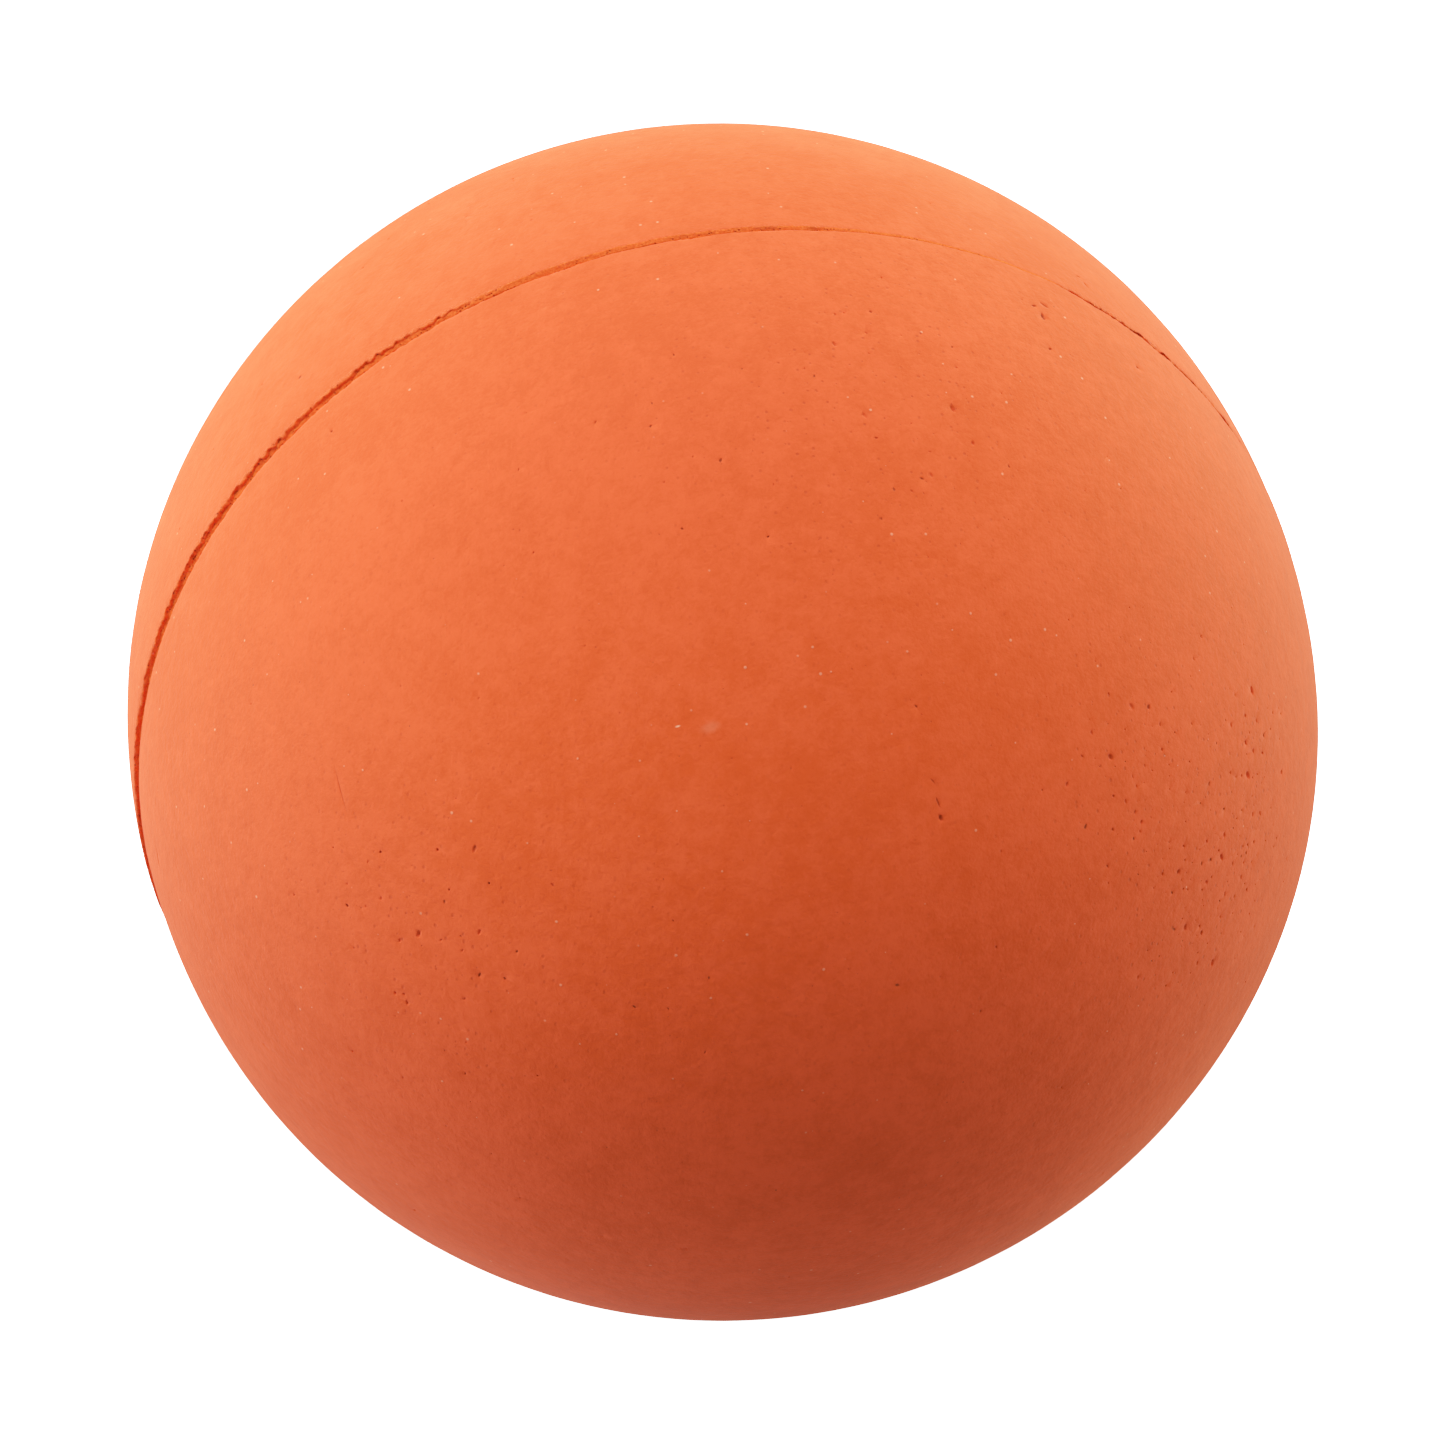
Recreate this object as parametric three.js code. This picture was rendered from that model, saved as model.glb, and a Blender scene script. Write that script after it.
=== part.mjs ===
// A smooth sponge-rubber practice golf ball: a solid rubber core inside a cover of two half shells,
// whose rims are joined by a thin layer of bonded rubber.
// Millimetres, +Z up, origin at the ball's centre. The parting plane is the XZ plane, so the
// poles of the two halves lie on the Y axis and every piece is a solid of revolution about Y.
import * as THREE from "three";

// Driving dimensions
const BALL_DIAMETER = 42.7; // across the poles
const CORE_DIAMETER = 36;
const WAIST_DEPTH = 0.22; // how far the cover is drawn in at the parting line
const WAIST_SPREAD = THREE.MathUtils.degToRad(18); // latitude by which most of that has faded
const BOND_THICKNESS = 0.3; // between the two rims
const BOND_RECESS = 0.25; // depth of the groove that the bond leaves at the parting line
const LIP_ROUND = 0.12; // rounding of each rim's outer edge

// Fineness of the facets
const SEGMENTS_AROUND = 64;
const OUTER_STEPS = 15; // from the lip to the pole
const INNER_STEPS = 8; // from the rim to the pole of the core
const LIP_STEPS = 2;

// Derived dimensions
const BALL_RADIUS = BALL_DIAMETER / 2;
const CORE_RADIUS = CORE_DIAMETER / 2;
const RIM_Y = BOND_THICKNESS / 2;
const CORE_RADIUS_AT_RIM = Math.sqrt(CORE_RADIUS ** 2 - RIM_Y ** 2);
const LIP_RADIUS = BALL_RADIUS - WAIST_DEPTH; // of the ball at the parting line
const BOND_RADIUS = LIP_RADIUS - BOND_RECESS;

// Radius of the cover's outer surface at a latitude measured from the parting plane
function coverRadius(latitude) {
  return BALL_RADIUS - WAIST_DEPTH * Math.exp(-((latitude / WAIST_SPREAD) ** 2));
}

// Profile points are (distance from the Y axis, height along Y) on the +Y side.
function pointAt(radius, latitude) {
  return new THREE.Vector2(radius * Math.cos(latitude), radius * Math.sin(latitude));
}

// The cover's outer surface from the top of the lip's rounding to the pole
function outerProfile() {
  const start = Math.asin((RIM_Y + LIP_ROUND) / LIP_RADIUS);
  const points = [];
  for (let step = 0; step < OUTER_STEPS; step += 1) {
    const latitude = THREE.MathUtils.lerp(start, Math.PI / 2, step / OUTER_STEPS);
    points.push(pointAt(coverRadius(latitude), latitude));
  }
  points.push(new THREE.Vector2(0, BALL_RADIUS));
  return points;
}

// A quarter round from the flat of the rim out to the outer surface
function lipProfile() {
  const points = [];
  for (let step = 0; step < LIP_STEPS; step += 1) {
    const turn = (Math.PI / 2) * (step / LIP_STEPS);
    const radius = LIP_RADIUS - LIP_ROUND * (1 - Math.sin(turn));
    const height = RIM_Y + LIP_ROUND * (1 - Math.cos(turn));
    points.push(new THREE.Vector2(radius, height));
  }
  return points;
}

// The core's surface from the rim to its pole, which the cover's hollow follows exactly
function coreProfile() {
  const start = Math.asin(RIM_Y / CORE_RADIUS);
  const points = [new THREE.Vector2(CORE_RADIUS_AT_RIM, RIM_Y)];
  for (let step = 1; step < INNER_STEPS; step += 1) {
    const latitude = THREE.MathUtils.lerp(start, Math.PI / 2, step / INNER_STEPS);
    points.push(pointAt(CORE_RADIUS, latitude));
  }
  points.push(new THREE.Vector2(0, CORE_RADIUS));
  return points;
}

// The same profile on the -Y side, in the opposite order, so that it still winds the same way
function mirrored(profile) {
  return profile.map((point) => new THREE.Vector2(point.x, -point.y)).reverse();
}

function revolved(name, profile, material) {
  const mesh = new THREE.Mesh(new THREE.LatheGeometry(profile, SEGMENTS_AROUND), material);
  mesh.name = name;
  return mesh;
}

function rubber(color, roughness) {
  return new THREE.MeshStandardMaterial({ color, roughness, metalness: 0 });
}

const spongeOrange = rubber(0xdc6234, 0.85);
const coreRubber = rubber(0x8f8a7e, 0.6);
const bondRubber = rubber(0xc4561f, 0.9);

const backHalfProfile = [...coreProfile().reverse(), ...lipProfile(), ...outerProfile()];
const frontHalfProfile = mirrored(backHalfProfile);
const coreOutline = [...mirrored(coreProfile()), ...coreProfile()];
const bondProfile = [
  new THREE.Vector2(CORE_RADIUS_AT_RIM, -RIM_Y),
  new THREE.Vector2(BOND_RADIUS, -RIM_Y),
  new THREE.Vector2(BOND_RADIUS, RIM_Y),
  new THREE.Vector2(CORE_RADIUS_AT_RIM, RIM_Y),
  new THREE.Vector2(CORE_RADIUS_AT_RIM, -RIM_Y),
];

const ball = new THREE.Group();
ball.add(revolved("cover_front_half", frontHalfProfile, spongeOrange));
ball.add(revolved("cover_back_half", backHalfProfile, spongeOrange));
ball.add(revolved("core", coreOutline, coreRubber));
ball.add(revolved("seam_bond", bondProfile, bondRubber));

export default ball;
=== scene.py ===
"""A smooth sponge-rubber practice golf ball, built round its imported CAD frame.

The CAD holds the ball's size and pieces: a core, two cover halves and the bond between their rims.
Here each half becomes a fine shell with a torn lip, pores and nicks, and the bond a ragged ring.
Angles round the parting line are measured from +Z towards +X. The back half is on the +Y side.
"""

import math

import bpy
import numpy as np
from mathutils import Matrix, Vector, noise
from mathutils.geometry import delaunay_2d_cdt


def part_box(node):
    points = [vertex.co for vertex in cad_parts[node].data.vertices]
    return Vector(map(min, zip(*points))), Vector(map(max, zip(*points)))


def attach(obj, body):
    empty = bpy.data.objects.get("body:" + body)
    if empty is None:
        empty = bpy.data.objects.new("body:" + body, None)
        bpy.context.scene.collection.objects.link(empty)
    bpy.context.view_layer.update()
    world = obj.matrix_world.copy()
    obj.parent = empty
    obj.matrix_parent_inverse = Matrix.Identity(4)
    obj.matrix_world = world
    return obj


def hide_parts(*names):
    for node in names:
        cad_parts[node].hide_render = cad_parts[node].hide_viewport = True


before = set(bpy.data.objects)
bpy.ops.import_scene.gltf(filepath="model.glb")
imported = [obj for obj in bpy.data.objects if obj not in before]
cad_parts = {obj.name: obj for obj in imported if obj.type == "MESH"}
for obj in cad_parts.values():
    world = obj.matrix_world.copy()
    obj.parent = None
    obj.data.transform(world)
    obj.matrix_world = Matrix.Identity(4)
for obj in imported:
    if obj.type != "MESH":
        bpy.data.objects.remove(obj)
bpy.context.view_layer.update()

MM = 0.001
SEED = 20

# Sizes from the frame, in metres
_, back_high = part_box("cover_back_half")
_, core_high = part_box("core")
_, bond_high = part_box("seam_bond")
POLE_RADIUS = back_high.y
LIP_RADIUS = back_high.x
CORE_RADIUS = core_high.y
RIM_GAP = bond_high.y  # from the parting plane to each rim
CORE_RADIUS_AT_RIM = math.sqrt(CORE_RADIUS**2 - RIM_GAP**2)

# Shape of the cover
WAIST_DEPTH = POLE_RADIUS - LIP_RADIUS
WAIST_SPREAD = math.radians(18)
MISMATCH = 0.15 * MM  # how far the two halves were moulded out of line with each other
MISMATCH_ANGLE = math.radians(-63)  # where the back half stands proudest
FAR_MISMATCH = 0.3  # share of the mismatch found on the opposite side of the ball
LUMP_HEIGHT = 0.035 * MM
LUMPS_PER_METRE = 45
PEEL_HEIGHT = 0.006 * MM
PEEL_PER_METRE = 900

# Fineness of the meshes
LIP_POINTS = 2040
LIP_ANGLES = np.arange(LIP_POINTS) * 2 * math.pi / LIP_POINTS
COARSE_SPACING = 0.44 * MM  # of the skin's points away from the lip
HOLLOW_SPACING = 2 * MM
SPACING_GROWTH = 0.14  # of the spacing, for each unit of distance from the lip
# As shares of the spacing of points: the distance between rings, and how far points stray
RING_PITCH = 0.87
ALONG_JITTER = 0.12
ACROSS_JITTER = 0.1
SKIN_START = 0.45 * MM  # distance from the parting plane where the lip's rows meet the skin

# The parting line, at angles round it in degrees. Sizes are in millimetres: half the gap between the
# lips, the rounding of the front and back lips, and how deep the bond lies below each lip.
SEAM_STOPS = (
    # angle, half gap, front round, back round, depth at front, depth at back, raggedness, and dirt with
    # painted shade deep in the crevice
    (-180, 0.05, 0.08, 0.06, 0.05, 0.07, 0.6, 0.2),
    (-140, 0.04, 0.06, 0.05, 0.05, 0.10, 0.5, 0.2),
    (-110, 0.04, 0.22, 0.05, 0.12, 0.16, 0.5, 0.1),
    (-85, 0.045, 0.26, 0.05, 0.14, 0.17, 0.8, 0.05),
    (-60, 0.045, 0.26, 0.05, 0.13, 0.17, 1.3, 0.03),
    (-40, 0.045, 0.24, 0.05, 0.11, 0.15, 1.3, 0.03),
    (-30, 0.045, 0.20, 0.05, 0.09, 0.11, 1.3, 0.05),
    (-22, 0.045, 0.12, 0.06, 0.02, 0.01, 0.9, 0.04),
    (-15, 0.045, 0.16, 0.06, 0.09, 0.01, 0.7, 0.05),
    (-11, 0.04, 0.09, 0.06, 0.0, -0.01, 0.6, 0.03),
    (-6, 0.04, 0.09, 0.06, 0.0, -0.01, 0.6, 0.03),
    (-3, 0.04, 0.17, 0.05, 0.10, 0.0, 0.7, 0.06),
    (0, 0.03, 0.08, 0.05, 0.0, -0.01, 0.6, 0.03),
    (4.5, 0.035, 0.17, 0.05, 0.10, 0.0, 0.7, 0.12),
    (7, 0.03, 0.08, 0.05, 0.0, -0.01, 0.6, 0.04),
    (9, 0.035, 0.16, 0.05, 0.11, 0.0, 0.8, 0.3),
    (11, 0.025, 0.07, 0.04, 0.0, 0.0, 0.5, 0.02),
    (20, 0.015, 0.05, 0.03, 0.0, 0.0, 0.35, 0.02),
    (34, 0.012, 0.05, 0.03, 0.01, 0.0, 0.3, 0.0),
    (37, 0.03, 0.12, 0.03, 0.10, 0.15, 1.2, 0.25),
    (45, 0.055, 0.18, 0.03, 0.20, 0.25, 1.8, 0.3),
    (75, 0.05, 0.17, 0.03, 0.20, 0.25, 1.5, 0.3),
    (110, 0.05, 0.06, 0.08, 0.08, 0.08, 0.6, 0.3),
    (150, 0.04, 0.05, 0.06, 0.03, 0.04, 0.6, 0.1),
)
SEAM_COLUMNS = ("gap", "front_round", "back_round", "front_depth", "back_depth", "ragged", "grime_and_shade")
WANDER = 0.065 * MM  # how far the parting line strays from its plane
WANDER_REACH = 2.5 * MM  # distance from the plane by which the straying has faded
EDGE_TEAR = 0.1 * MM  # raggedness of a torn lip
BOND_TEAR = 0.04 * MM
# How the front lip (-1) and the back lip (1) differ: how deeply each is chipped, how torn the skin beside
# it looks, and how late in its rounding the rest of the tear sets in
LIP_CHIPS = {-1: 0.35, 1: 1.0}
SKIN_TORN = {-1: 0.05, 1: 0.5}
TEAR_POWER = {-1: 6, 1: 1}
OUTER_CHIPS = 0.4  # share of the chipping found where the rounding starts
LAND_ROWS = 3  # of points between the skin and the lip
ROUND_STEPS = 4
FACE_DEPTHS = (0.04 * MM, 0.09 * MM, 0.15 * MM, 0.23 * MM, 0.35 * MM)  # rows down the rim's torn face
RIM_DEPTH = 0.6 * MM  # below here the rims lie at the CAD's gap
BOND_COLUMNS = 9  # of points across the bond's outer edge
CLEARANCE = 0.004 * MM  # from the bond to the core and rims, and at least this from a lip to the plane
BOND_TUCK = 0.03 * MM  # how far the bond's outer edge runs in under each lip
BOND_EDGE_DEPTH = 0.3 * MM  # how far in the bond stays as thin as its outer edge

# Pores: each ring's size as a share of the pore's, how deep it lies, and its number of points
PORE_RINGS = ((0.0, 1.0, 1), (0.5, 0.92, 7), (0.85, 0.5, 10), (1.1, 0.04, 12), (1.5, 0.0, 12))
PORE_CLEARANCE = 0.09 * MM
PORE_GAP = 0.15 * MM  # least distance between one pore and the next
PORE_WOBBLE = 0.14  # how far a ring's points stray in and out, as a share of its size
LEAST_HEIGHT = 0.03  # how near the parting plane a pore may lie, as a share of the radius
SCATTERED_PORES = 180
SCATTERED_SIZE = 0.018 * MM  # typical half width of a scattered pore
PATCH_SIZE = 0.028 * MM  # and of one in a patch
# Patches of pores on the front and back half: angle, latitude and spread in degrees, and how many
PORE_PATCHES = {
    -1: (
        (72, 46, 13, 150),
        (71, 35, 4, 26),
        (77, 42, 5, 50),
        (51, 47, 6, 30),
        (82, 49, 6, 40),
        (-72, 50, 12, 40),
        (10, 24, 14, 40),
    ),
    1: ((-30, 40, 12, 90), (120, 30, 10, 60), (-150, 60, 15, 70), (40, 70, 9, 40)),
}
# Single marks: angle, latitude, half length, half width and depth in millimetres, how far the length is
# turned to the left of straight up in degrees, and how much dark dirt it holds, or pale dust if below zero
FRONT_MARKS = (
    (72.8, 37.3, 0.17, 0.085, 0.11, 12, 0.1),
    (78.1, 44.5, 0.14, 0.06, 0.09, 10, 0.1),
    (49.8, 49.5, 0.13, 0.08, 0.08, 15, 0.1),
    (69.4, 35.8, 0.10, 0.05, 0.07, 5, 0.1),
    (71.4, 35.2, 0.09, 0.05, 0.06, -15, 0.1),
    (67.1, 34.1, 0.07, 0.05, 0.06, 0, 0.1),
    (79.0, 37.1, 0.11, 0.045, 0.06, 5, 0.1),
    (86.8, 41.2, 0.07, 0.06, 0.06, 0, 0.3),
    (45.0, 48.8, 0.08, 0.06, 0.04, 0, 0.05),
    (-65.2, 41.8, 0.05, 0.045, 0.06, 0, 1.0),
    (-42.0, 4.8, 0.05, 0.04, 0.05, 0, 0.9),
    (-74.6, 40.7, 0.07, 0.05, 0.06, 60, 1.0),
    (-2.3, 36.5, 0.05, 0.035, 0.05, -60, 0.9),
    (-11.5, 34.1, 0.05, 0.04, 0.05, 60, 0.7),
    (12.2, 12.2, 0.06, 0.05, 0.06, 0, 0.6),
    (-58.2, 52.3, 0.05, 0.04, 0.05, 0, 0.8),
    (31.9, 78.1, 0.08, 0.06, 0.03, 80, 0.6),
    (31.1, 7.0, 0.19, 0.07, 0.09, -68, 0.9),
    (31.6, 5.0, 0.17, 0.045, 0.06, -18, 0.7),
    (30.3, 5.8, 0.12, 0.045, 0.06, 40, 0.6),
    (31.2, 11.6, 0.09, 0.045, 0.05, 60, 0.4),
    (42.7, 7.0, 0.06, 0.05, 0.05, 0, 0.7),
    (21.2, 58.9, 0.14, 0.025, 0.03, 30, 0.1),
    (23.2, 60.7, 0.20, 0.035, 0.06, 12, 0.2),
    (24.6, 62.0, 0.12, 0.065, 0.10, 10, 0.25),
    (-19.8, 51.4, 0.10, 0.035, 0.0, -70, -1.0),
    (-15.3, 52.5, 0.38, 0.2, 0.0, -70, -0.14),
    (-62.6, 35.0, 0.85, 0.03, 0.015, 38, 0.05),
    (-92.1, 9.2, 0.35, 0.03, 0.03, 20, 0.3),
)
BACK_MARKS = (
    (38.6, 3.5, 0.12, 0.025, 0.05, -75, 0.4),
    (38.0, 4.4, 0.08, 0.025, 0.04, 10, 0.3),
    (-20, 30, 0.08, 0.05, 0.06, 10, 0.9),
    (95, 48, 0.06, 0.05, 0.06, 0, 1.0),
    (-120, 62, 0.30, 0.035, 0.06, 50, 0.3),
    (170, 35, 0.05, 0.05, 0.05, 0, 0.8),
)
BASE_POROSITY = 0.3  # share of the skin's fine pores found away from the patches


def unit_vectors(angle, latitude, side):
    """Unit vectors at an angle round the parting line and a latitude above it, on one side."""
    flat = np.cos(latitude)
    columns = (flat * np.sin(angle), side * np.sin(latitude), flat * np.cos(angle))
    return np.stack(np.broadcast_arrays(*columns), axis=-1)


def noise_at(points, per_metre, seed):
    """Smooth noise, about -1 to 1, with a given number of features per metre."""
    shift = Vector((1.7, 2.3, 3.1)) * seed
    return np.array([noise.noise(Vector(p) * per_metre + shift) for p in points])


def circle(angle):
    """Points round the parting line."""
    return unit_vectors(angle, np.zeros_like(angle), 1) * LIP_RADIUS


def cover_radius(unit, side):
    """Distance from the centre to a half's outer surface, before pores."""
    latitude = np.arcsin(np.clip(side * unit[:, 1], -1, 1))
    angle = np.arctan2(unit[:, 0], unit[:, 2])
    waist = WAIST_DEPTH * np.exp(-((latitude / WAIST_SPREAD) ** 2))
    lean = np.cos(angle - MISMATCH_ANGLE)
    shift = side * MISMATCH / 2 * np.maximum(lean, FAR_MISMATCH * lean) * np.cos(latitude)
    spots = unit * POLE_RADIUS
    lumps = LUMP_HEIGHT * noise_at(spots, LUMPS_PER_METRE, 3)
    peel = PEEL_HEIGHT * noise_at(spots, PEEL_PER_METRE, 5)
    return POLE_RADIUS - waist + shift + lumps + peel


def seam_at(angle):
    """The parting line's sizes at each angle, in metres, from the stops."""
    stops = np.array(SEAM_STOPS, float)
    degrees = np.degrees(angle)
    columns = {}
    for number, name in enumerate(SEAM_COLUMNS, start=1):
        scale = 1 if name in ("ragged", "grime_and_shade") else MM
        columns[name] = np.interp(degrees, stops[:, 0], stops[:, number], period=360) * scale
    return columns


def patchy_grime_and_shade(seam, angle):
    """Dirt and painted shade deep in the parting line: even where there is a lot of it, in spots where
    there is little.
    """
    spots = noise_at(circle(angle), 450, 13) + 0.6 * noise_at(circle(angle), 1800, 14)
    return np.clip(seam["grime_and_shade"] * (1 + 2.5 * spots * (1 - seam["grime_and_shade"])), 0, 1)


def wandered(points):
    """Points moved so that the parting line strays a little from its plane."""
    angle = np.arctan2(points[:, 0], points[:, 2])
    stray = WANDER * (noise_at(circle(angle), 160, 11) + 0.6 * noise_at(circle(angle), 800, 12))
    moved = points.copy()
    moved[:, 1] += stray * np.exp(-((points[:, 1] / WANDER_REACH) ** 2))
    return moved


def ring_points(rng, start, radius, coarse):
    """Angles and latitudes in rings from a start latitude to the pole, coarser as they go."""
    fine = 2 * math.pi * radius / LIP_POINTS
    angles = [LIP_ANGLES]
    latitudes = [np.full(LIP_POINTS, start)]
    latitude = start
    spacing = fine
    while True:
        latitude += RING_PITCH * spacing / radius
        spacing = min(coarse, fine + SPACING_GROWTH * (latitude - start) * radius)
        count = round(2 * math.pi * radius * math.cos(latitude) / spacing)
        if latitude > math.pi / 2 or count < 7:
            break
        step = 2 * math.pi / count
        turned = np.arange(count) + rng.random()
        along = rng.uniform(-ALONG_JITTER, ALONG_JITTER, count)
        across = rng.uniform(-ACROSS_JITTER, ACROSS_JITTER, count)
        angles.append(turned * step + along * step)
        latitudes.append(latitude + across * spacing / radius)
    angles.append(np.zeros(1))
    latitudes.append(np.full(1, math.pi / 2))
    return np.concatenate(angles), np.concatenate(latitudes)


def triangulated(unit, side, outward):
    """Triangles over points of one half of a sphere, seen from the far pole as a flat disc."""
    flat = unit[:, (0, 2)] / (1 + side * unit[:, 1])[:, None]
    spots = [Vector(spot) for spot in flat]
    _, _, faces, origins, _, _ = delaunay_2d_cdt(spots, [], [], 0, 1e-9, True)
    first = [ids[0] for ids in origins]
    triangles = [[first[corner] for corner in face] for face in faces]
    if (side > 0) == outward:
        triangles = [triangle[::-1] for triangle in triangles]
    return triangles


def make_pore(centre, length, width, depth, turn, dirt_and_shade):
    """A pore: its unit centre, its axes in the surface, and its sizes in metres."""
    upward = np.array((0, 0, 1)) - centre[2] * centre
    upward /= np.linalg.norm(upward)
    turned = math.cos(turn) * upward + math.sin(turn) * np.cross(centre, upward)
    return {
        "centre": centre,
        "axes": (turned, np.cross(centre, turned)),
        "length": length,
        "width": width,
        "depth": depth,
        "dirt_and_shade": dirt_and_shade,
    }


def marked_pores(marks, side):
    """The single marks of a half, each made as a pore."""
    pores = []
    for angle, latitude, length, width, depth, turn, dirt_and_shade in marks:
        centre = unit_vectors(np.radians(angle), np.radians(latitude), side)
        sizes = (length * MM, width * MM, depth * MM)
        pores.append(make_pore(centre, *sizes, math.radians(turn), dirt_and_shade))
    return pores


def scattered_pores(rng, side, taken):
    """Random pores all over a half and in its patches, clear of each other and of those taken."""
    wanted = []
    for _ in range(SCATTERED_PORES):
        latitude = math.asin(rng.uniform(0.04, 1))
        centre = unit_vectors(rng.uniform(-math.pi, math.pi), latitude, side)
        wanted.append((centre, SCATTERED_SIZE))
    for angle, latitude, spread, count in PORE_PATCHES[side]:
        middle = unit_vectors(math.radians(angle), math.radians(latitude), side)
        for _ in range(count):
            spot = middle + rng.normal(0, math.radians(spread) / 1.6, 3)
            wanted.append((spot / np.linalg.norm(spot), PATCH_SIZE))
    pores = list(taken)
    for centre, size in wanted:
        width = size * min(math.exp(rng.normal(0, 0.5)), 2.8)
        length = width * rng.uniform(1.1, 2.2)
        reach = (length + PORE_GAP) / POLE_RADIUS
        if side * centre[1] < LEAST_HEIGHT:
            continue
        if any(np.linalg.norm(centre - p["centre"]) < reach + p["length"] / POLE_RADIUS for p in pores):
            continue
        depth = width * rng.uniform(0.6, 1.2)
        pores.append(make_pore(centre, length, width, depth, rng.normal(0.1, 0.4), rng.random() ** 8))
    return pores


def porosity(unit, side):
    """How dense the fine pores in the skin are, from the patches: 0 to 1."""
    amount = np.full(len(unit), BASE_POROSITY)
    for angle, latitude, spread, _ in PORE_PATCHES[side]:
        middle = unit_vectors(math.radians(angle), math.radians(latitude), side)
        away = np.degrees(np.arccos(np.clip(unit @ middle, -1, 1)))
        amount += (1 - BASE_POROSITY) * np.exp(-((away / (1.3 * spread)) ** 2))
    return np.minimum(amount, 1)


def pore_points(rng, pore):
    """Unit vectors, depths and shares of depth for the rings of one pore."""
    spots, sinks, shares = [], [], []
    for size, share, count in PORE_RINGS:
        count = max(count, round(count * pore["length"] / pore["width"] / 2))
        if size == 0:
            count = 1
        turn = np.arange(count) * 2 * math.pi / count + rng.random() * 0.5
        size = size * (1 + rng.uniform(-PORE_WOBBLE, PORE_WOBBLE, count))
        along = np.cos(turn) * size * pore["length"]
        across = np.sin(turn) * size * pore["width"]
        offset = along[:, None] * pore["axes"][0] + across[:, None] * pore["axes"][1]
        spot = pore["centre"] + offset / POLE_RADIUS
        spots.append(spot / np.linalg.norm(spot, axis=1)[:, None])
        sinks.append(np.full(count, share * pore["depth"]))
        shares.append(np.full(count, share))
    return np.concatenate(spots), np.concatenate(sinks), np.concatenate(shares)


def outside_pore(unit, pore):
    """True for the points that lie clear of a pore."""
    offset = (unit - pore["centre"]) * POLE_RADIUS
    widest = PORE_RINGS[-1][0]
    along = offset @ pore["axes"][0] / (widest * pore["length"] + PORE_CLEARANCE)
    across = offset @ pore["axes"][1] / (widest * pore["width"] + PORE_CLEARANCE)
    return (along**2 + across**2 > 1) | (unit @ pore["centre"] < 0)


def lip_rows(side):
    """Rows of points from the skin's edge round the lip and down the rim, with how torn each is."""
    seam = seam_at(LIP_ANGLES)
    turn = seam["back_round" if side > 0 else "front_round"]
    gap = seam["gap"]
    spots = circle(LIP_ANGLES)
    ragged = seam["ragged"] * EDGE_TEAR
    tear = ragged * (noise_at(spots, 3200, 20 + side) + 1.1 * noise_at(spots, 8000, 30 + side))
    chipping = noise_at(spots, 1500, 40 + side) + 0.6 * noise_at(spots, 6000, 50 + side)
    chips = LIP_CHIPS[side] * (ragged * np.abs(chipping))

    def surface(height):
        unit = unit_vectors(LIP_ANGLES, np.arcsin(height / LIP_RADIUS), side)
        return np.sqrt(cover_radius(unit, side) ** 2 - height**2)

    rows = []
    lip_start = gap + turn
    skin_torn = SKIN_TORN[side]
    for step in range(1, LAND_ROWS + 1):
        share = step / (LAND_ROWS + 1)
        height = SKIN_START + (lip_start - SKIN_START) * share
        rows.append((surface(height) - chips * share**2 * OUTER_CHIPS, height, skin_torn * share))
    top = surface(lip_start)
    for step in range(ROUND_STEPS + 1):
        bend = math.pi / 2 * step / ROUND_STEPS
        share = step / ROUND_STEPS
        chipped = chips * (OUTER_CHIPS + (1 - OUTER_CHIPS) * share)
        radius = top - turn * (1 - math.cos(bend)) - chipped
        height = gap + turn * (1 - math.sin(bend)) + tear * share
        lip_torn = skin_torn + (1 - skin_torn) * share ** TEAR_POWER[side]
        rows.append((radius, np.maximum(height, CLEARANCE), lip_torn))
    edge = rows[-1][0]
    for number, depth in enumerate(FACE_DEPTHS):
        rough = ragged * 0.6 * noise_at(spots, 5000, 60 + number * 3 + side)
        rows.append((edge - depth, np.maximum(gap + tear * 0.5 + rough, CLEARANCE), 1.0))
    rim = np.full(LIP_POINTS, RIM_GAP)
    rows.append((top - turn - RIM_DEPTH, rim, 1.0))
    rows.append((np.full(LIP_POINTS, CORE_RADIUS_AT_RIM), rim, 1.0))
    return rows


def row_points(radius, height):
    """Points all round the ball at given distances from the Y axis and heights along it."""
    return np.stack((radius * np.sin(LIP_ANGLES), height, radius * np.cos(LIP_ANGLES)), axis=1)


def strip(first_row, second_row, flip):
    """Quads between two closed rows of the same number of points."""
    following = np.roll(first_row, -1), np.roll(second_row, -1)
    quads = np.stack((first_row, following[0], following[1], second_row), axis=1)
    return (quads[:, ::-1] if flip else quads).tolist()


def make_mesh(name, points, faces, attributes, material):
    mesh = bpy.data.meshes.new(name)
    mesh.from_pydata(points.tolist(), [], faces)
    for key, values in attributes.items():
        layer = mesh.attributes.new(key, "FLOAT", "POINT")
        layer.data.foreach_set("value", np.asarray(values, np.float32))
    mesh.shade_smooth()
    mesh.materials.append(material)
    mesh.validate()
    piece = bpy.data.objects.new(name, mesh)
    bpy.context.scene.collection.objects.link(piece)
    return piece


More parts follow.
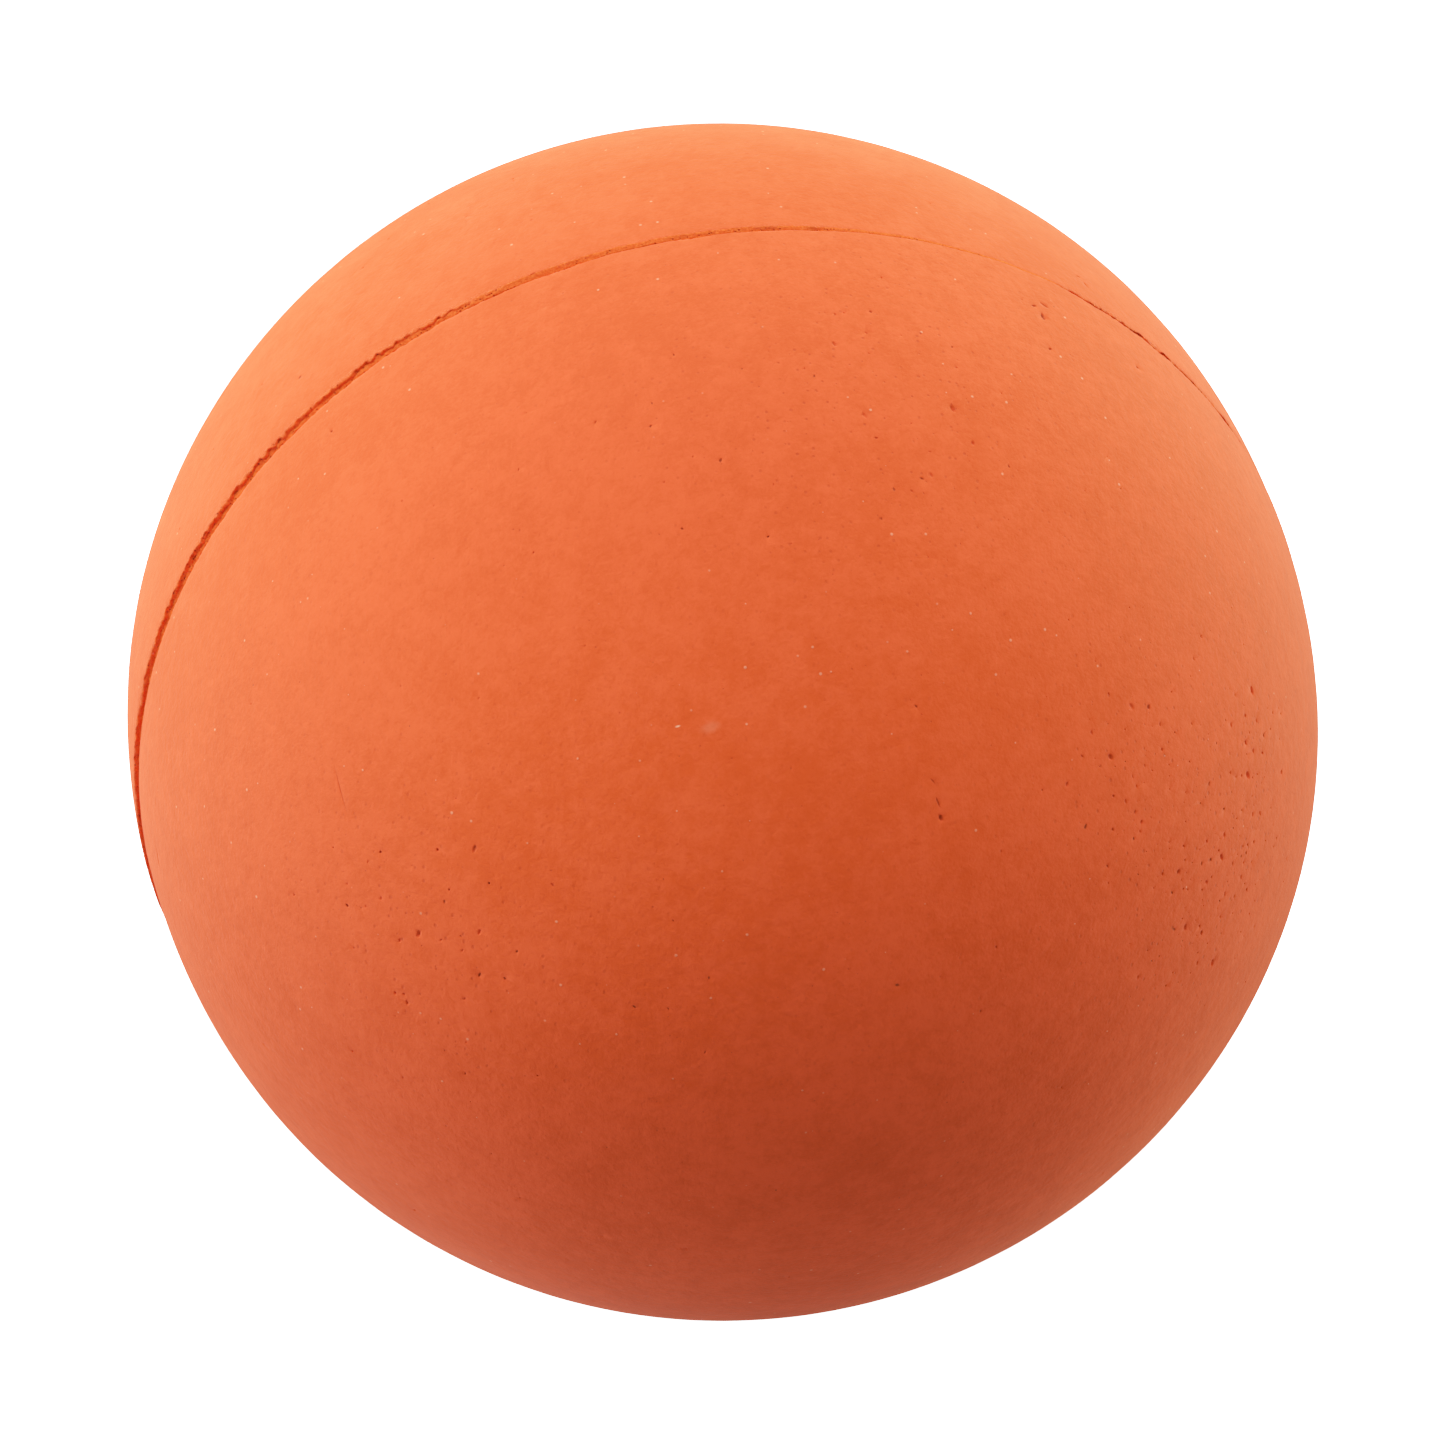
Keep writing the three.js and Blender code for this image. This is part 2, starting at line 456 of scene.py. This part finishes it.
def pored_skin(rng, side, marks):
    """Unit vectors over the skin of a half, with how far each is sunk, how deep in a pore for its painted
    shade, how dirty.
    """
    start = math.asin(SKIN_START / LIP_RADIUS)
    angle, latitude = ring_points(rng, start, POLE_RADIUS, COARSE_SPACING)
    unit = unit_vectors(angle, latitude, side)
    pores = scattered_pores(rng, side, marked_pores(marks, side))
    keep = np.ones(len(unit), bool)
    for pore in pores:
        keep[LIP_POINTS:] &= outside_pore(unit[LIP_POINTS:], pore)
    plain = np.zeros(int(keep.sum()))
    units, sinks, pore_shades, dirts = [unit[keep]], [plain], [plain], [plain]
    for pore in pores:
        spots, depths, shares = pore_points(rng, pore)
        units.append(spots)
        sinks.append(depths)
        pore_shades.append(shares * (pore["depth"] > 0))
        dirts.append(shares * pore["dirt_and_shade"])
    skin = [np.concatenate(values) for values in (units, sinks, pore_shades, dirts)]
    above = side * skin[0][:, 1] > math.sin(start) - 1e-9
    return [values[above] for values in skin]


def make_cover_half(name, side, marks, material):
    """A cover half as a closed shell: pored skin, torn lip, rim and smooth hollow."""
    rng = np.random.default_rng(SEED + side)
    unit, sink, pore_shade, dirt_and_shade = pored_skin(rng, side, marks)
    points = [unit * (cover_radius(unit, side) - sink)[:, None]]
    faces = triangulated(unit, side, True)
    seam = seam_at(LIP_ANGLES)
    torn, grime_and_shade = [], []
    ring = np.arange(LIP_POINTS)
    total = len(unit)
    for radius, height, share in lip_rows(side):
        points.append(row_points(radius, side * height))
        torn.append(np.minimum(seam["ragged"], 1) * share)
        # Dirt and painted shade: darker as the lip turns into the crevice, full down its face and on the
        # rim
        grime_and_shade.append(patchy_grime_and_shade(seam, LIP_ANGLES) * max(0, 2 * share - 1))
        following = total + np.arange(LIP_POINTS)
        faces += strip(ring, following, side > 0)
        ring = following
        total += LIP_POINTS

    start = math.asin(RIM_GAP / CORE_RADIUS)
    angle, latitude = ring_points(rng, start, CORE_RADIUS, HOLLOW_SPACING)
    inner = unit_vectors(angle, latitude, side)
    hollow = inner[LIP_POINTS:] * CORE_RADIUS
    numbers = np.concatenate((ring, total + np.arange(len(hollow))))
    faces += [numbers[triangle].tolist() for triangle in triangulated(inner, side, False)]
    points.append(hollow)
    inside = np.zeros(len(hollow))
    unpored = np.zeros(len(grime_and_shade) * LIP_POINTS + len(hollow))
    # Painted shade inside the pores, by how deep each point lies in one; dirt in the marks and pores, and
    # dirt with painted shade deep in the parting line
    attributes = {
        "pore_shade": np.concatenate([pore_shade, unpored]),
        "dirt_and_shade": np.concatenate([dirt_and_shade, *grime_and_shade, inside]),
        "torn": np.concatenate([np.zeros(len(unit)), *torn, inside]),
        "porous": np.concatenate([porosity(unit, side), unpored]),
    }
    return make_mesh(name, wandered(np.concatenate(points)), faces, attributes, material)


def make_bond(name, material):
    """The bond between the rims: a ring whose outer edge is torn rubber."""
    seam = seam_at(LIP_ANGLES)
    spots = circle(LIP_ANGLES)
    half = seam["gap"] + BOND_TUCK
    edge = {}
    for side, turn, depth in ((-1, "front_round", "front_depth"), (1, "back_round", "back_depth")):
        height = seam["gap"] + seam[turn]
        unit = unit_vectors(LIP_ANGLES, np.arcsin(height / LIP_RADIUS), side)
        edge[side] = np.sqrt(cover_radius(unit, side) ** 2 - height**2) - seam[depth]
    low = np.minimum(edge[-1], edge[1]) - RIM_DEPTH
    rim = np.full(LIP_POINTS, RIM_GAP - CLEARANCE)
    core = np.full(LIP_POINTS, CORE_RADIUS_AT_RIM + CLEARANCE)
    rows = [(core, -rim), (low, -rim), (edge[-1] - BOND_EDGE_DEPTH, -half)]
    for column in range(BOND_COLUMNS):
        share = column / (BOND_COLUMNS - 1)
        rough = noise_at(spots, 4200, 70 + column * 0.35) + 0.8 * noise_at(spots, 9000, 90 + column * 0.9)
        radius = edge[-1] + (edge[1] - edge[-1]) * share
        arch = 0.3 * BOND_TEAR * math.sin(math.pi * share)
        rows.append((radius + seam["ragged"] * (BOND_TEAR * rough + arch), half * (2 * share - 1)))
    rows += [(edge[1] - BOND_EDGE_DEPTH, half), (low, rim), (core, rim)]
    points = np.concatenate([row_points(radius, height) for radius, height in rows])
    faces = []
    for number in range(len(rows)):
        here = number * LIP_POINTS + np.arange(LIP_POINTS)
        there = (number + 1) % len(rows) * LIP_POINTS + np.arange(LIP_POINTS)
        faces += strip(here, there, False)
    # Dirt and painted shade over the whole bond, deep in the parting line
    grime_and_shade = np.tile(patchy_grime_and_shade(seam, LIP_ANGLES), len(rows))
    return make_mesh(name, wandered(points), faces, {"dirt_and_shade": grime_and_shade}, material)


class Shader:
    """A material's nodes, with short calls for making and joining them."""

    def __init__(self, name):
        self.material = bpy.data.materials.new(name)
        self.material.use_nodes = True
        self.nodes = self.material.node_tree.nodes
        self.links = self.material.node_tree.links
        self.surface = self.nodes["Principled BSDF"]

    def put(self, value, socket):
        """Joins an output to a socket, or sets the socket to a plain value."""
        if isinstance(value, bpy.types.NodeSocket):
            self.links.new(value, socket)
        else:
            socket.default_value = value

    def node(self, kind, settings, inputs):
        made = self.nodes.new(kind)
        for key, value in settings.items():
            setattr(made, key, value)
        for key, value in inputs.items():
            self.put(value, made.inputs[key])
        return made

    def millimetres(self):
        place = self.node("ShaderNodeTexCoord", {}, {}).outputs["Object"]
        scaled = self.node("ShaderNodeVectorMath", {"operation": "SCALE"}, {0: place, "Scale": 1 / MM})
        return scaled.outputs[0]

    def noise(self, place, scale, detail=3.0, roughness=0.5):
        inputs = {"Vector": place, "Scale": scale, "Detail": detail, "Roughness": roughness}
        return self.node("ShaderNodeTexNoise", {}, inputs).outputs["Fac"]

    def shifted(self, place, offset):
        return self.node("ShaderNodeVectorMath", {"operation": "ADD"}, {0: place, 1: offset}).outputs[0]

    def cells(self, place, scale):
        """Distance to the nearest of scattered points, in cells, and a random colour for it."""
        made = self.node("ShaderNodeTexVoronoi", {}, {"Vector": place, "Scale": scale})
        return made.outputs["Distance"], made.outputs["Color"]

    def maths(self, operation, first, second=0.0):
        inputs = {0: first, 1: second}
        return self.node("ShaderNodeMath", {"operation": operation}, inputs).outputs[0]

    def ramp(self, value, low, high, start=0.0, end=1.0):
        """value from low to high becomes start to end, eased."""
        inputs = {"Value": value, "From Min": low, "From Max": high, "To Min": start, "To Max": end}
        return self.node("ShaderNodeMapRange", {"interpolation_type": "SMOOTHSTEP"}, inputs).outputs[0]

    def blend(self, share, first, second, mode="MIX"):
        made = self.node("ShaderNodeMix", {"data_type": "RGBA", "blend_type": mode}, {0: share})
        self.put(first, made.inputs[6])
        self.put(second, made.inputs[7])
        return made.outputs[2]

    def layer(self, name):
        return self.node("ShaderNodeAttribute", {"attribute_name": name}, {}).outputs["Fac"]

    def dots(self, place, scale, smallest, largest, kept):
        """Round dots at some of the scattered points, with soft edges. Sizes are in cells."""
        distance, colour = self.cells(place, scale)
        parts = self.node("ShaderNodeSeparateColor", {}, {0: colour}).outputs
        size = self.ramp(parts[0], 0.0, 1.0, smallest, largest)
        inside = self.ramp(self.maths("DIVIDE", distance, size), 1.0, 0.35)
        chosen = self.maths("LESS_THAN", parts[1], kept)
        return self.maths("MULTIPLY", inside, chosen)

    def bump(self, height, depth, normal=None):
        inputs = {"Strength": 1.0, "Distance": depth, "Height": height}
        if normal is not None:
            inputs["Normal"] = normal
        return self.node("ShaderNodeBump", {}, inputs).outputs[0]

    def make_chalky(self):
        """Gives the surface the weak gloss and flat shading of sponge rubber."""
        self.surface.inputs["Specular IOR Level"].default_value = 0.18
        self.surface.inputs["Diffuse Roughness"].default_value = 1.0


# Colours of the sponge rubber, from its bare skin to what lies on it, with painted shade for the pores and
# the parting line's crevice
DEEP_ORANGE = (0.755, 0.088, 0.011, 1)
BLOOM_ORANGE = (0.845, 0.112, 0.027, 1)
TORN_ORANGE = (0.82, 0.1, 0.01, 1)
TORN_GLOW = (0.94, 0.16, 0.026, 1)
# Painted shade for the insides of pores, pinholes and open cells
PORE_SHADE_ORANGE = (0.48, 0.045, 0.005, 1)
# Dark dirt, also used as painted shade deep in the parting line
DIRT_AND_SHADE = (0.21, 0.036, 0.004, 1)
DUST = (0.95, 0.42, 0.26, 1)
TORN_RELIEF = 0.05 * MM


def torn_rubber(shader, place):
    """Colour and height of fresh torn rubber: yellower than the moulded skin, with open cells whose
    darkness is painted shade.
    """
    grain = shader.noise(place, 12.0, 3.0, 0.75)
    cells = shader.dots(shader.shifted(place, (3, 1, 2)), 9.5, 0.2, 0.5, 0.5)
    colour = shader.blend(shader.ramp(grain, 0.35, 0.65), TORN_ORANGE, TORN_GLOW)
    # Painted shade in the open cells
    colour = shader.blend(shader.maths("MULTIPLY", cells, 0.85), colour, PORE_SHADE_ORANGE)
    return colour, shader.maths("SUBTRACT", grain, cells)


def sponge_material():
    """Matte moulded sponge rubber: mottled bloom, fine grain, pinholes and pores with painted shade in
    them, dirt, painted shade deep in the parting line, and dust.
    """
    shader = Shader("sponge_cover")
    place = shader.millimetres()
    grain = shader.noise(place, 8.0, 3.0, 0.7)
    mottle = shader.maths("MULTIPLY", grain, 0.26)
    for scale, share in ((2.4, 0.26), (0.75, 0.26), (0.16, 0.22)):
        layer = shader.noise(shader.shifted(place, (31 * scale, 7, 12)), scale, 3.0, 0.55)
        mottle = shader.maths("ADD", mottle, shader.maths("MULTIPLY", layer, share))
    colour = shader.blend(shader.ramp(mottle, 0.4, 0.6), DEEP_ORANGE, BLOOM_ORANGE)

    stretched = shader.node("ShaderNodeVectorMath", {"operation": "MULTIPLY"}, {0: place, 1: (1, 1, 0.75)})
    fine_pores = shader.dots(stretched.outputs[0], 3.6, 0.1, 0.3, 0.8)
    fine_pores = shader.maths("MULTIPLY", fine_pores, shader.layer("porous"))
    pinholes = shader.dots(place, 1.9, 0.04, 0.09, 0.5)
    holes = shader.maths("MAXIMUM", fine_pores, pinholes)
    # Painted shade: pinholes and fine pores darkened, and the mesh pores darker the deeper in
    colour = shader.blend(shader.maths("MULTIPLY", holes, 0.55), colour, PORE_SHADE_ORANGE)
    colour = shader.blend(shader.maths("MULTIPLY", shader.layer("pore_shade"), 0.5), colour, PORE_SHADE_ORANGE)

    torn_colour, torn_height = torn_rubber(shader, place)
    fringe = shader.noise(place, 14.0, 2.0, 0.6)
    edge = shader.maths("MULTIPLY", shader.maths("SUBTRACT", fringe, 0.5), 1.4)
    torn = shader.ramp(shader.maths("ADD", shader.layer("torn"), edge), 0.25, 0.85)
    colour = shader.blend(torn, colour, torn_colour)

    # Dark specks of dirt, and the dirt and painted shade carried on the mesh
    specks = shader.dots(shader.shifted(place, (5, 3, 8)), 0.9, 0.02, 0.045, 0.35)
    dirt_and_shade = shader.maths("MAXIMUM", shader.maths("MULTIPLY", specks, 0.8), shader.layer("dirt_and_shade"))
    colour = shader.blend(dirt_and_shade, colour, DIRT_AND_SHADE)
    motes = shader.dots(shader.shifted(place, (2, 9, 4)), 1.6, 0.03, 0.12, 0.5)
    pale = shader.maths("MULTIPLY", shader.layer("dirt_and_shade"), -1.0)
    dust = shader.maths("MAXIMUM", shader.maths("MULTIPLY", motes, 0.5), pale)
    colour = shader.blend(dust, colour, DUST)
    shader.put(colour, shader.surface.inputs["Base Color"])

    shader.put(shader.ramp(mottle, 0.4, 0.6, 0.76, 0.86), shader.surface.inputs["Roughness"])
    shader.make_chalky()
    shader.surface.inputs["Sheen Weight"].default_value = 0.08
    shader.surface.inputs["Sheen Roughness"].default_value = 0.5
    normal = shader.bump(shader.noise(place, 2.4, 3.0, 0.6), 0.035 * MM)
    normal = shader.bump(grain, 0.018 * MM, normal)
    normal = shader.bump(shader.maths("SUBTRACT", motes, holes), 0.01 * MM, normal)
    normal = shader.bump(shader.maths("MULTIPLY", torn_height, torn), TORN_RELIEF, normal)
    shader.put(normal, shader.surface.inputs["Normal"])
    return shader.material


def bond_material():
    """The bond's torn outer edge, darkened by dirt and painted shade deep in the parting line."""
    shader = Shader("bond_rubber")
    colour, height = torn_rubber(shader, shader.millimetres())
    colour = shader.blend(shader.layer("dirt_and_shade"), colour, DIRT_AND_SHADE)
    shader.put(colour, shader.surface.inputs["Base Color"])
    shader.surface.inputs["Roughness"].default_value = 0.85
    shader.make_chalky()
    shader.put(shader.bump(height, TORN_RELIEF), shader.surface.inputs["Normal"])
    return shader.material


def core_material():
    """Solid grey-tan moulded rubber, with flow marks and a fine matte grain."""
    shader = Shader("core_rubber")
    place = shader.millimetres()
    flow = shader.noise(place, 0.25, 4.0, 0.6)
    grain = shader.noise(place, 6.0, 3.0, 0.6)
    colour = shader.blend(shader.ramp(flow, 0.35, 0.65), (0.24, 0.22, 0.18, 1), (0.33, 0.3, 0.25, 1))
    specks = shader.dots(place, 1.2, 0.04, 0.1, 0.5)
    colour = shader.blend(specks, colour, (0.12, 0.11, 0.09, 1))
    shader.put(colour, shader.surface.inputs["Base Color"])
    shader.put(shader.ramp(grain, 0.3, 0.7, 0.5, 0.7), shader.surface.inputs["Roughness"])
    shader.put(shader.bump(grain, 0.02 * MM), shader.surface.inputs["Normal"])
    return shader.material


# The studio, placed by azimuth and elevation as the camera is, with sizes in metres
CAMERA_AZIMUTH = math.radians(-10.1)
CAMERA_ELEVATION = math.radians(36.4)
CAMERA_DISTANCE = 0.4
SENSOR = 36.0  # millimetres
BALL_SHARE_OF_FRAME = 0.8285  # the ball's width as a share of the picture's
STUDIO_RADIUS = 3
STUDIO_SIDES = 96
LIGHT_DISTANCE = 0.6
LIGHT_DIAMETER = 0.45
SURROUND_STRENGTH = 0.3
# Round soft lights, most of them beside, above and behind the ball: azimuth and elevation in degrees,
# watts and colour
WHITE = (1, 1, 1)
WARM = (1, 0.99, 0.8)
COOL = (0.93, 0.99, 1)
LIGHTS = {
    "right_side": (108, 0, 5.0, (1, 0.94, 0.5)),
    "right_back_high": (126, 32, 1.1, COOL),
    "right_front": (72, 0, 0.55, WARM),
    "left_side": (-108, 0, 4.4, (1, 0.99, 0.85)),
    "left_back_high": (-126, 58, 3.4, COOL),
    "left_back": (-126, 27, 0.7, WHITE),
    "left_high": (-90, 32, 0.55, WHITE),
    "left_low": (-90, -27, 0.62, (1, 0.93, 0.65)),
    "left_front": (-72, 0, 0.3, WARM),
    "overhead": (180, 90, 3.4, COOL),
    "back_high": (162, 58, 0.4, COOL),
    "front_low": (10, -32, 0.42, (1, 0.85, 0.7)),
}
# The picture's tone curve, from scene brightness to shown brightness: bright orange keeps its hue
TONE_WHITE = 2.0
TONE_STOPS = ((0.3, 0.32), (0.45, 0.47), (0.6, 0.58), (0.9, 0.73), (1.28, 0.87), (1.6, 0.96))


def towards(azimuth, elevation):
    """Unit vector from the ball towards an azimuth and elevation; azimuth 0 is the front."""
    flat = math.cos(elevation)
    return Vector((math.sin(azimuth) * flat, -math.cos(azimuth) * flat, math.sin(elevation)))


def aim(thing, direction, distance):
    thing.location = direction * distance
    thing.rotation_euler = direction.to_track_quat("Z", "Y").to_euler()
    bpy.context.scene.collection.objects.link(thing)


def add_camera():
    lens = bpy.data.cameras.new("camera")
    lens.sensor_width = SENSOR
    reach = math.sqrt(CAMERA_DISTANCE**2 - POLE_RADIUS**2)
    lens.lens = SENSOR * BALL_SHARE_OF_FRAME / 2 * reach / POLE_RADIUS
    lens.clip_start = 0.01
    camera = bpy.data.objects.new("camera", lens)
    aim(camera, towards(CAMERA_AZIMUTH, CAMERA_ELEVATION), CAMERA_DISTANCE)
    bpy.context.scene.camera = camera


def add_light(name, azimuth, elevation, watts, colour):
    lamp = bpy.data.lights.new(name, "AREA")
    lamp.shape = "DISK"
    lamp.size = LIGHT_DIAMETER
    lamp.energy = watts
    lamp.color = colour
    direction = towards(math.radians(azimuth), math.radians(elevation))
    aim(bpy.data.objects.new(name, lamp), direction, LIGHT_DISTANCE)


def add_world():
    world = bpy.data.worlds.new("studio")
    world.use_nodes = True
    background = world.node_tree.nodes["Background"]
    background.inputs["Color"].default_value = (1, 1, 1, 1)
    background.inputs["Strength"].default_value = SURROUND_STRENGTH
    bpy.context.scene.world = world


def set_tone():
    settings = bpy.context.scene.view_settings
    settings.view_transform = "Standard"
    settings.use_curve_mapping = True
    settings.curve_mapping.white_level = (TONE_WHITE, TONE_WHITE, TONE_WHITE)
    for scene_level, shown_level in TONE_STOPS:
        settings.curve_mapping.curves[3].points.new(scene_level / TONE_WHITE, shown_level)
    settings.curve_mapping.update()


def studio_material():
    """White that fills the picture behind the ball."""
    shader = Shader("studio_white")
    shader.surface.inputs["Base Color"].default_value = (0.9, 0.9, 0.9, 1)
    shader.surface.inputs["Roughness"].default_value = 0.8
    shader.surface.inputs["Emission Color"].default_value = (1, 1, 1, 1)
    shader.surface.inputs["Emission Strength"].default_value = TONE_WHITE
    return shader.material


def add_studio(floor_height):
    """A plain floor, and a plain backdrop all round: seen, but casting no light or shade on the ball."""
    material = studio_material()
    bpy.ops.mesh.primitive_circle_add(
        vertices=STUDIO_SIDES, radius=STUDIO_RADIUS, fill_type="NGON", location=(0, 0, floor_height)
    )
    floor = bpy.context.object
    floor.name = "studio_floor"
    bpy.ops.mesh.primitive_uv_sphere_add(
        segments=STUDIO_SIDES, ring_count=STUDIO_SIDES // 2, radius=STUDIO_RADIUS
    )
    backdrop = bpy.context.object
    backdrop.name = "studio_backdrop"
    for sheet in (floor, backdrop):
        sheet.data.materials.append(material)
        sheet.visible_diffuse = False
        sheet.visible_glossy = False
        sheet.visible_shadow = False


sponge = sponge_material()
front_half = make_cover_half("front_cover_shell", -1, FRONT_MARKS, sponge)
back_half = make_cover_half("back_cover_shell", 1, BACK_MARKS, sponge)
torn_bond = make_bond("torn_seam_bond", bond_material())
for piece, node, slot in (
    (front_half, "cover_front_half", "sponge_cover"),
    (back_half, "cover_back_half", "sponge_cover"),
    (torn_bond, "seam_bond", "bond_rubber"),
):
    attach(piece, "root")
    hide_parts(node)
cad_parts["core"].data.materials.clear()
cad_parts["core"].data.materials.append(core_material())

lowest = min(piece.bound_box[0][2] for piece in (front_half, back_half))
add_studio(lowest)
add_camera()
add_world()
for light_name, placing in LIGHTS.items():
    add_light(light_name, *placing)
set_tone()
